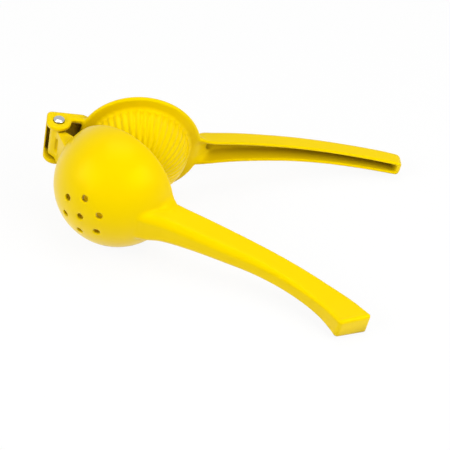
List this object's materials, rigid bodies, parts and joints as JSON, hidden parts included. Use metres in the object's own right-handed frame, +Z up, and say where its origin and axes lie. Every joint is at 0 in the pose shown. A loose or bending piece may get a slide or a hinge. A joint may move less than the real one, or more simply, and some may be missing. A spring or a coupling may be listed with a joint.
{
  "type": "hinged lemon squeezer",
  "caption": "Hand-held hinged citrus press: a perforated bowl lever and a fluted dome lever turn on one pin and squeeze a halved lemon.",
  "frame": {"origin": "under the middle of the tool's box, on the surface that it lies on", "axes": "+Z up, +X towards the handle tips, the hinge at -X, the bowl lever on the -Y side and the press lever on the +Y side"},
  "size_m": [0.2216, 0.1598, 0.0768],
  "materials": {
    "bowl_lever_enamel": "glossy yellow enamel on die-cast aluminium",
    "press_lever_enamel": "glossy yellow enamel on die-cast aluminium",
    "pin_steel": "polished steel",
    "cap_steel": "polished steel"
  },
  "bodies": {
    "bowl_side": {"strainer_bowl_lever": "bowl_lever_enamel"},
    "press_side": {"press_lever": "press_lever_enamel", "hinge_pin": "pin_steel", "hinge_pin_cap": "cap_steel"}
  },
  "joints": [
    {"name": "press_hinge", "type": "hinge", "parent": "bowl_side", "child": "press_side", "pos_m": [-0.09932, 0.00057, 0.04719], "axis": [0.187, -0.0046, 0.9823], "range_deg": [-35.1, 104.9]}
  ]
}
